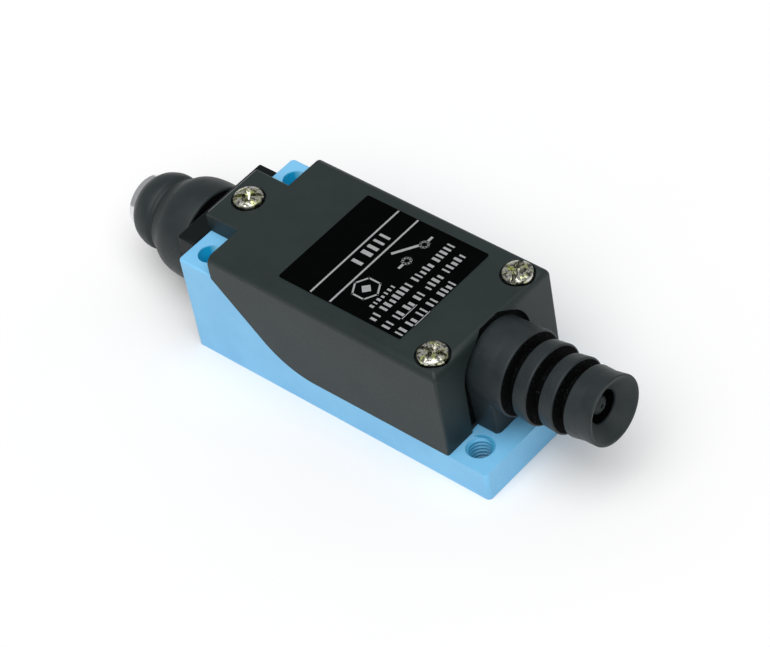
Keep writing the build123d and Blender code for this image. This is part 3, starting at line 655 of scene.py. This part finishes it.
def arch_reach(angle, round_r, half_width):
    """How far a round-topped arch reaches from its centre, with straight sides down to a foot."""
    way = Vector((abs(math.cos(angle)), math.sin(angle)))
    corner = Vector((half_width, -FOOT_DROP))
    corner_angle = math.atan2(corner.y, corner.x)
    lean = corner_angle + math.acos(min(round_r / corner.length, 1))
    here = math.atan2(way.y, way.x)
    if here >= lean:
        return round_r
    if here >= corner_angle:
        return round_r / math.cos(here - lean)
    return FOOT_DROP / -way.y


def boot_point(length, angle, radius):
    """A point of the cable boot, bent upwards past the collar."""
    share = max(length, 0.0) / BOOT_LENGTH
    tilt = MOUTH_TILT * share
    lift = BOOT_LIFT * share**2
    up = radius * math.sin(angle)
    x = BOOT_FRONT - length + up * math.sin(tilt)
    return Vector((x, radius * math.cos(angle), CABLE_Z + lift + up * math.cos(tilt)))


def boot_ring(length, radius, arch=None, share=1.0):
    """A ring of the boot: round, or reaching out to an arch (radius, half width) by a share."""
    ring = []
    for i in range(BOOT_SIDES):
        angle = 2 * math.pi * i / BOOT_SIDES
        reach = radius
        if arch:
            reach += share * max(arch_reach(angle, *arch) - radius, 0)
        if reach * math.sin(angle) > HEADROOM:
            reach = HEADROOM / math.sin(angle)
        ring.append(boot_point(length, angle, reach))
    return ring


def boot_flange():
    """The end face inside, the flange behind the wall, and the neck through the wall."""
    face = [boot_ring(INNER_END, BORE_R), boot_ring(INNER_END, INNER_FACE_R)]
    flange = [(INNER_END, FLANGE_R - FLANGE_EDGE), (INNER_END + FLANGE_EDGE, FLANGE_R)]
    wall = [(WALL_IN, FLANGE_R), (WALL_IN, NECK_R), (ROOT, NECK_R)]
    return face + [boot_ring(length, reach, (reach, reach)) for length, reach in flange + wall]


def boot_lip():
    """The thin lip in the recess, back to the root of the collar, painted in shade."""
    lip = [boot_ring(length, RECESS_R, (RECESS_R, RECESS_R)) for length in (ROOT, ROOT + LIP_T)]
    return lip + [boot_ring(ROOT + LIP_T, COLLAR_ROOT_R, (COLLAR_ROOT_R, FOOT_HALF_W))]


def boot_foot():
    """The collar over its foot, the foot's rounded front edge, and its front face up to the collar."""
    middle = (ROOT + FOOT_FRONT) / 2
    rings = [boot_ring(middle, COLLAR_MIDDLE_R, (COLLAR_ROOT_R, FOOT_HALF_W))]
    for step in range(FOOT_STEPS + 1):
        turn = math.pi / 2 * step / FOOT_STEPS
        half_width = FOOT_HALF_W - FOOT_ROUND * (1 - math.cos(turn))
        length = FOOT_FRONT - FOOT_ROUND * (1 - math.sin(turn))
        rings.append(boot_ring(length, COLLAR_FRONT_R, (COLLAR_ROOT_R, half_width)))
    for share in FOOT_SHARES:
        length = FOOT_FRONT + FOOT_SLOPE * (1 - share)
        rings.append(boot_ring(length, COLLAR_FRONT_R, (COLLAR_ROOT_R, half_width), share))
    return rings


def sleeve_outline():
    """The collar's front, the ribs and grooves, the mouth and the bore, as (length, radius) points."""
    outline = [(SLEEVE_START, COLLAR_FRONT_R, 0.0), (0.0, COLLAR_R, EDGE_ROUND)]
    groove_start = 0.0
    for rib_r, rib_start, rib_end in RIBS:
        floor_r = rib_r - GROOVE_DEPTH
        outline.append((groove_start + START_LEAN, floor_r, CORNER_ROUND))
        outline.append((rib_start - END_LEAN, floor_r, CORNER_ROUND))
        outline.append((rib_start, rib_r - RIB_TAPER, CORNER_ROUND))
        outline.append((rib_end, rib_r, EDGE_ROUND))
        groove_start = rib_end
    outline.append((groove_start + START_LEAN, LAST_GROOVE_R, CORNER_ROUND))
    outline += LAST_RIB
    outline += [(BOOT_LENGTH - back, radius, rounding) for back, radius, rounding in MOUTH]
    outline.append((INNER_END, BORE_R, 0.0))
    return rounded(outline)


def in_painted_shade(length, radius):
    """Whether a ring of the sleeve gets painted shade: deep in a groove or in the gap round the membrane.
    """
    start, end, inner_r, outer_r = MEMBRANE_GAP
    if BOOT_LENGTH - end < length < BOOT_LENGTH - start and inner_r < radius < outer_r:
        return True
    return any(low < length < high and GROOVE_LEAST_R < radius < edge_r for low, high, edge_r in GROOVES)


def cable_boot():
    """The rubber boot: flange inside the wall, foot on the platform, ribbed sleeve and pierced mouth."""
    flange = boot_flange()
    lip = boot_lip()
    foot = boot_foot()
    sleeve = sleeve_outline()
    # Rings marked True get painted shade: the lip in the recess, the deep grooves and the gap round the
    # membrane.
    dark = [False] * len(flange) + [True] * len(lip) + [False] * len(foot)
    dark += [in_painted_shade(length, radius) for length, radius in sleeve]
    bm = bmesh.new()
    skin(bm, flange + lip + foot + [boot_ring(length, radius) for length, radius in sleeve])
    shade_rings(bm, dark, BOOT_SIDES)
    bmesh.ops.remove_doubles(bm, verts=bm.verts, dist=SAME_POINT)
    materials = [FINISHES["black_rubber"], PAINTED_SHADE_RUBBER]
    piece = finish_mesh("cable_boot_skin", bm, materials, "housing")
    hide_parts("cable_boot")


# ================================================================ plunger boot
GUIDE_FLANGE = 4.1
BELLOWS_START = HEAD_END + GUIDE_FLANGE
# The outline runs out from the guide and back inside. Each point is a distance from the guide's flange,
# a radius and, at a corner, a rounding.
NECK = [(0.0, 5.3, 0.0), (0.0, 7.2, 0.2), (2.5, 7.2, 0.3), (2.6, 8.9, 0.0)]
BULGE = [(2.65, 9.12), (2.9, 9.3), (4.1, 9.42), (5.8, 9.42), (7.8, 9.22), (9.4, 8.72), (10.8, 7.85)]
WAIST = [(11.7, 7.35), (12.2, 7.12), (12.55, 6.72), (12.9, 6.55), (13.25, 6.78), (13.7, 7.12)]
FRONT = [(14.5, 7.2), (15.5, 7.08), (17.0, 6.55), (18.1, 5.75)]
LIP = [(18.5, 5.35, 0.3), (18.2, 5.06, 0.1), (17.45, 5.06, 0.0), (17.4, 4.55, 0.0), (16.1, 4.55, 0.0)]
INSIDE = [(16.05, 5.2), (13.7, 5.3), (12.2, 5.5), (10.6, 6.2), (9.0, 7.4), (7.1, 8.0), (4.1, 8.1)]
NECK_INSIDE = [(3.4, 8.0, 0.0), (3.3, 6.15, 0.0), (1.55, 6.15, 0.0), (1.5, 5.3, 0.0)]
# The neck gets painted shade up to here, where the bulge starts.
BULGE_BACK = 2.62


def along_bellows(points):
    """Outline points moved out to the guide's flange."""
    return [(BELLOWS_START + point[0], *point[1:]) for point in points]


def smooth_bellows(points):
    """A smooth curve through outline points."""
    return flowing([Vector(point) for point in along_bellows(points)])


def plunger_boot():
    """The rubber bellows: a neck on the guide, one full bulge, a waist and a rolled lip on the plunger."""
    outline = rounded(along_bellows(NECK)) + smooth_bellows(BULGE + WAIST + FRONT)
    lip_corners = [(*FRONT[-1], 0.0)] + LIP
    outline += rounded(along_bellows(lip_corners))[1:]
    outline += smooth_bellows(INSIDE) + rounded(along_bellows(NECK_INSIDE))
    bm = bmesh.new()
    skin(bm, [ring_about_x(x, radius, PLUNGER_Z) for x, radius in outline], loop=True)
    # The neck behind the bulge gets painted shade.
    shade_rings(bm, [x < BELLOWS_START + BULGE_BACK for x, radius in outline])
    materials = [FINISHES["black_rubber"], PAINTED_SHADE_RUBBER]
    piece = finish_mesh("plunger_boot_skin", bm, materials, None)
    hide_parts("plunger_boot")
    return piece


# ================================================================ springs
COIL_STEPS = 40
# How many turns are closed at each end, and how many wire radii such a turn advances by.
CLOSED_TURNS = 1
CLOSED_PITCH = 2.02
# The open turns advance by this share more than evenly, and end before the last turn closes.
OPEN_HURRY = 0.08


def spring(node_name, body, wire_r, turns):
    """A coil spring in the place of a CAD spring, with closed turns at both ends."""
    low, high = corners(node_name)
    mean_r = (high.z - low.z) / 2 - wire_r
    length = high.x - low.x - 2 * wire_r
    closed = CLOSED_PITCH * wire_r / length
    total = turns + 2 * CLOSED_TURNS
    path = []
    for i in range(COIL_STEPS * total + 1):
        turn = i / COIL_STEPS
        share = min(max((turn - CLOSED_TURNS + OPEN_HURRY * turn) / turns, 0.0), 1.0)
        x = low.x + wire_r + length * (closed * min(turn, CLOSED_TURNS) + (1 - 2 * closed) * share)
        x += length * closed * max(turn - total + CLOSED_TURNS, 0)
        angle = 2 * math.pi * turn
        path.append(Vector((x, mean_r * math.cos(angle), PLUNGER_Z + mean_r * math.sin(angle))))
    bm = bmesh.new()
    tube(bm, path, wire_r)
    piece = finish_mesh(node_name + "_coil", bm, [FINISHES["spring_steel"]], body)
    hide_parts(node_name)
    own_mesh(piece)


# ================================================================ cover screws
HEAD_R = 2.75
HEAD_H = 2.1
HEAD_SIDES = 96
SCREW_Y = 11.0
HEAD_TOP = screws_high.z
SEAT_Z = HEAD_TOP - HEAD_H
REAR_SCREW_X = screws_low.x + HEAD_R
HEAD_SCREW_X = screws_high.x - HEAD_R
REAR_SCREW_LENGTH = 20.0
HEAD_SCREW_LENGTH = 8.0
SHANK_R = 1.2
SCREW_ROOT_R = 1.19
SCREW_CREST_R = 1.45
SCREW_PITCH = 0.5
THREAD_GAP = 0.6
POINT_LENGTH = 0.5
# The cross is two tapered wings: their radius at the bottom and top, their depth, how they are stretched
# along and squeezed across, and how deep their middle lies.
WING_LOW_R = 0.5
WING_HIGH_R = 2.1
WING_DEPTH = 1.9
WING_STRETCH = 1.25
WING_SQUEEZE = 0.34
WING_SINK = 0.62
SLOT_WIDTH = 0.75
SLOT_DEPTH = 0.75
SLOT_LENGTH = 2.6 * HEAD_R
SLOT_CUT_HEIGHT = 2
SLOT_EDGE_ROUND = 0.07
# The faces of the recess lie between these depths, and this far inside the head's rim; they get painted
# shade.
DARK_DEPTH = (0.35, 1.9)
DARK_RIM = 0.15


def drive_wing(x, y, turn):
    """One wing of the cross, as a four-sided taper."""
    wing = bmesh.new()
    bmesh.ops.create_cone(
        wing, segments=4, radius1=WING_LOW_R, radius2=WING_HIGH_R, depth=WING_DEPTH, cap_ends=True
    )
    bmesh.ops.rotate(wing, verts=wing.verts, matrix=Matrix.Rotation(math.pi / 4, 3, "Z"))
    bmesh.ops.scale(wing, verts=wing.verts, vec=(WING_STRETCH, WING_SQUEEZE, 1))
    bmesh.ops.rotate(wing, verts=wing.verts, matrix=Matrix.Rotation(turn, 3, "Z"))
    bmesh.ops.translate(wing, verts=wing.verts, vec=(x, y, HEAD_TOP - WING_SINK))
    return wing


def drive_slot(x, y, turn):
    """The slot right across the head."""
    slot = bmesh.new()
    slab(slot, x, y, HEAD_TOP - SLOT_DEPTH, SLOT_LENGTH, SLOT_WIDTH, SLOT_CUT_HEIGHT, turn)
    return slot


def darken_drive(piece, x, y):
    """Gives the faces of the drive recess the second material, which paints shade into it."""
    shallow, deep = DARK_DEPTH
    for face in piece.data.polygons:
        centre = face.center / MM
        reach = math.hypot(centre.x - x, centre.y - y)
        face.material_index = int(shallow < HEAD_TOP - centre.z < deep and reach < HEAD_R - DARK_RIM)


def cover_screw(name, x, y, length, slot_turn):
    """A pan-head screw with a rolled thread and a combined cross and slot, turned by slot_turn degrees."""
    bottom = SEAT_Z - length
    crown = [(HEAD_TOP + 0.02, 0.0, 0.0), (HEAD_TOP, 1.8, 1.4), (HEAD_TOP - 0.4, HEAD_R - 0.1, 0.4)]
    rim = [(HEAD_TOP - 0.95, HEAD_R, 0.3), (SEAT_Z, HEAD_R, 0.08)]
    neck = [(SEAT_Z, SHANK_R + 0.15, 0.0), (SEAT_Z - 0.2, SHANK_R, 0.0)]
    point = [(bottom + POINT_LENGTH, SHANK_R, 0.0), (bottom, 0.75, 0.0), (bottom, 0.0, 0.0)]
    outline = rounded(crown + rim + neck + point)
    bm = bmesh.new()
    skin(bm, [ring_about_z(z, radius, x, y, HEAD_SIDES) for z, radius in outline])
    materials = [FINISHES["yellow_zinc"], DRIVE_SHADOW]
    piece = finish_mesh(name, bm, materials, "housing")
    turn = math.radians(slot_turn)
    for wing_turn in (turn, turn + math.pi / 2):
        cut(piece, drive_wing(x, y, wing_turn))
    cut(piece, drive_slot(x, y, turn), width=SLOT_EDGE_ROUND)
    darken_drive(piece, x, y)
    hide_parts("cover_screws")
    thread = bmesh.new()
    centre = Vector((x, y, 0))
    low = bottom + POINT_LENGTH
    high = SEAT_Z - THREAD_GAP
    thread_ridge(thread, centre, low, high, SCREW_ROOT_R, SCREW_CREST_R, SCREW_PITCH)
    finish_mesh(name + "_thread", thread, [FINISHES["yellow_zinc"]], "housing")


# ================================================================ mounting holes
TAPPED_HOLE_X = -28.35
TAPPED_HOLE_Y = 10.4
TAPPED_ROOT_R = 2.53
TAPPED_CREST_R = 2.1
TAPPED_PITCH = 0.8
TAPPED_RAISE = 0.1
SHOULDER_HOLE_X = 29.3
SHOULDER_HOLE_Y = 11.0
SHOULDER_HOLE_R = 2.15
# How far the lining stops short of the hole's top and bottom, and how far it reaches into the wall and out.
LINING_TOP_GAP = 0.2
LINING_BOTTOM_GAP = 0.3
LINING_SINK = 0.02
LINING_T = 0.03
HOLE_STEPS = 64


def tapped_hole(name, x, y):
    """The thread inside a mounting hole in the platform."""
    bm = bmesh.new()
    low = base_low.z + TAPPED_RAISE
    high = PLATFORM_Z + TAPPED_RAISE
    centre = Vector((x, y, 0))
    thread_ridge(bm, centre, low, high, TAPPED_ROOT_R, TAPPED_CREST_R, TAPPED_PITCH, HOLE_STEPS)
    finish_mesh(name, bm, [THREAD_PAINTED_SHADE], "housing")


def bore_lining(name, x, y):
    """A thin lining on the wall of a plain hole in a shoulder, which carries painted light and shade."""
    top = base_high.z - LINING_TOP_GAP
    bottom = base_low.z + LINING_BOTTOM_GAP
    outside = SHOULDER_HOLE_R + LINING_SINK
    inside = SHOULDER_HOLE_R - LINING_T
    outline = [(bottom, outside), (top, outside), (top, inside), (bottom, inside)]
    bm = bmesh.new()
    skin(bm, [ring_about_z(z, radius, x, y, HOLE_STEPS) for z, radius in outline], loop=True)
    finish_mesh(name, bm, [BORE_LIGHT_AND_SHADE], "housing")


# ================================================================ tongue edge
def painted_edge_highlight():
    """A paler line of plastic along the front edge of the cover's tongue, a painted highlight."""
    half_width = 6.1
    line_r = 0.13
    sink = 0.21
    x = cover_high.x - sink
    z = cover_high.z - sink
    bm = bmesh.new()
    tube(bm, [Vector((x, y, z)) for y in (-half_width, 0, half_width)], line_r)
    finish_mesh("painted_edge_highlight", bm, [PAINTED_HIGHLIGHT_PLASTIC], "housing")


# ================================================================ label print
# Words run across the label, from high y to low y. A row is its x, its start and end in y, the height
# of its blocks, and how many blocks each word has.
TYPE_ROW = (2.75, 2.4, -6.3, 2.3, (1, 4))
RATING_ROWS = (
    (-6.2, 8.7, 2.4, 0.85, (7,)),
    (-8.2, 10.9, 0.6, 1.6, (2, 7)),
    (-8.2, 0.0, -10.4, 1.6, (5, 5)),
    (-11.3, 11.1, 1.1, 1.6, (2, 2, 2, 2)),
    (-11.3, 0.4, -9.5, 1.6, (4, 5)),
    (-14.1, 11.1, 1.1, 1.6, (2, 2, 2, 2)),
    (-14.1, 0.3, -3.6, 1.6, (4,)),
)
PRINT_T = 0.02
PRINT_Z = label_high.z - PRINT_T / 2
RULES_X = (4.84, 0.5)
RULE_WIDTH = 0.36
RULE_GAP = 0.3
UNDERLINES_X = (-12.35, -15.15)
UNDERLINE_Y = 5.8
UNDERLINE_SIZE = (0.16, 3.9)
# Shares of a block's pitch or of its row's height.
WORD_GAP = 0.6
BLOCK_HEIGHTS = (1.0, 1.0, 0.78)
BLOCK_WIDTHS = (0.34, 0.46, 0.56)
HEXAGON = (-2.7, 5.6)
HEXAGON_R = 2.5
HEXAGON_STROKE = 0.32
DIAMOND_SIDE = 1.5
# The switch symbol: its middle, its two terminals, the arm between them and a lead at each end.
SWITCH = (-4.2, -5.4)
TERMINAL_R = 0.75
TERMINAL_OFFSET = 2.3
TERMINAL_STROKE = 0.38
ARM = [(0.6, -1.7), (3.2, 2.2)]
ARM_STROKE = 0.55
LEAD = (3.2, 4.2)
LEAD_STROKE = 0.5


def words(bm, x, y_start, y_end, height, groups):
    """Plain blocks from y_start down to y_end, gathered into groups like words."""
    pitch = (y_start - y_end) / (sum(groups) + WORD_GAP * (len(groups) - 1))
    y = y_start - pitch / 2
    for group in groups:
        for _ in range(group):
            tall = height * random.choice(BLOCK_HEIGHTS)
            wide = pitch * random.choice(BLOCK_WIDTHS)
            slab(bm, x - (height - tall) / 2, y, PRINT_Z, tall, wide, PRINT_T)
            y -= pitch
        y -= WORD_GAP * pitch


def strokes(bm, centre, points, width, closed=False):
    """Straight strokes between points round a centre."""
    ends = [Vector(centre) + Vector(point) for point in points]
    following = ends[1:] + ends[:1] if closed else ends[1:]
    for start, end in zip(ends, following):
        middle = (start + end) / 2
        run = end - start
        turn = math.atan2(run.y, run.x)
        slab(bm, middle.x, middle.y, PRINT_Z, run.length + width, width, PRINT_T, turn)


def symbols(bm):
    """A hexagon round a diamond, and a simple sketch of an open switch contact."""
    strokes(bm, HEXAGON, circle(HEXAGON_R, sides=6), HEXAGON_STROKE, closed=True)
    slab(bm, *HEXAGON, PRINT_Z, DIAMOND_SIDE, DIAMOND_SIDE, PRINT_T, math.pi / 4)
    x, y = SWITCH
    for offset in (-TERMINAL_OFFSET, TERMINAL_OFFSET):
        strokes(bm, (x, y + offset), circle(TERMINAL_R, sides=8), TERMINAL_STROKE, closed=True)
    strokes(bm, SWITCH, ARM, ARM_STROKE)
    for side in (1, -1):
        strokes(bm, SWITCH, [(0.0, side * distance) for distance in LEAD], LEAD_STROKE)


def label_print():
    """Generic print: two rules, rows of plain blocks in place of words, and two plain symbols."""
    random.seed(4)
    middle_y = (label_low.y + label_high.y) / 2
    rule_length = label_high.y - label_low.y - RULE_GAP
    bm = bmesh.new()
    for x in RULES_X:
        slab(bm, x, middle_y, PRINT_Z, RULE_WIDTH, rule_length, PRINT_T)
    words(bm, *TYPE_ROW)
    symbols(bm)
    for row in RATING_ROWS:
        words(bm, *row)
    for x in UNDERLINES_X:
        slab(bm, x, UNDERLINE_Y, PRINT_Z, *UNDERLINE_SIZE, PRINT_T)
    finish_mesh("label_print", bm, [INK], "housing")


# ================================================================ assembly
for soft_node, soft_width in EDGE_ROUNDS.items():
    soften(soft_node, soft_width)
cable_boot()
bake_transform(plunger_boot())
spring("return_spring", "housing", wire_r=0.35, turns=6)
spring("overtravel_spring", "plunger_body", wire_r=0.2, turns=7)
spring("drive_spring", "pusher_body", wire_r=0.15, turns=3)
spring("reset_spring", "housing", wire_r=0.18, turns=4)
cover_screw("rear_screw_left", REAR_SCREW_X, SCREW_Y, REAR_SCREW_LENGTH, slot_turn=12)
cover_screw("rear_screw_right", REAR_SCREW_X, -SCREW_Y, REAR_SCREW_LENGTH, slot_turn=113)
cover_screw("head_screw", HEAD_SCREW_X, 0.0, HEAD_SCREW_LENGTH, slot_turn=38)
tapped_hole("tapped_thread_left", TAPPED_HOLE_X, TAPPED_HOLE_Y)
tapped_hole("tapped_thread_right", TAPPED_HOLE_X, -TAPPED_HOLE_Y)
bore_lining("shoulder_bore_left", SHOULDER_HOLE_X, SHOULDER_HOLE_Y)
bore_lining("shoulder_bore_right", SHOULDER_HOLE_X, -SHOULDER_HOLE_Y)
painted_edge_highlight()
label_print()


# ================================================================ floor, light and camera
FLOOR_REACH = 3000
FLOOR_GAP = 0.02
KEY_TOWARDS = (-0.25, 0.33, 0.91)
KEY_WIDTH = math.radians(70)
KEY_STRENGTH = 2.63
SKY_STRENGTH = 0.405
CAMERA_AT = Vector((-285.1, 251.7, 387.7))
CAMERA_AIM = Vector((-0.7, 1.3, 12.0))
CAMERA_ROLL = math.radians(-11.3)
# The lens and its sensor in millimetres, and the near and far limits of its view in metres.
LENS = 146.9
SENSOR_WIDTH = 36
NEAR = 0.01
FAR = 20


def floor():
    """A large pale floor just under the mounting face."""
    dark = (0.86, 0.86, 0.86)
    light = (0.88, 0.88, 0.88)
    bm = bmesh.new()
    bmesh.ops.create_grid(bm, x_segments=1, y_segments=1, size=FLOOR_REACH)
    bmesh.ops.translate(bm, verts=bm.verts, vec=(0, 0, base_low.z - FLOOR_GAP))
    mesh = mesh_in_metres("floor", bm)
    finish = Finish("floor_white", roughness=0.8)
    finish.colour(finish.blend(finish.noise(40.0), dark, light))
    mesh.materials.append(finish.material)
    plane = add_object("floor", mesh)


def key_light():
    """A very soft, distant light from high on the camera's side."""
    data = bpy.data.lights.new("key", "SUN")
    data.angle = KEY_WIDTH
    data.energy = KEY_STRENGTH
    light = add_object("key", data)
    light.rotation_euler = Vector(KEY_TOWARDS).to_track_quat("Z", "Y").to_euler()


def sky():
    """An even white surround."""
    world = bpy.data.worlds.new("studio")
    world.use_nodes = True
    background = world.node_tree.nodes["Background"]
    background.inputs["Color"].default_value = (1, 1, 1, 1)
    background.inputs["Strength"].default_value = SKY_STRENGTH
    bpy.context.scene.world = world


def camera():
    """A long lens that looks down on the cable end and the label, slightly rolled."""
    data = bpy.data.cameras.new("camera")
    data.lens = LENS
    data.sensor_width = SENSOR_WIDTH
    data.clip_start = NEAR
    data.clip_end = FAR
    view = add_object("camera", data)
    view.location = CAMERA_AT * MM
    facing = (CAMERA_AIM - CAMERA_AT).to_track_quat("-Z", "Y").to_matrix()
    view.rotation_euler = (facing @ Matrix.Rotation(CAMERA_ROLL, 3, "Z")).to_euler()
    bpy.context.scene.camera = view


floor()
key_light()
sky()
camera()
bpy.context.scene.view_settings.view_transform = "Standard"
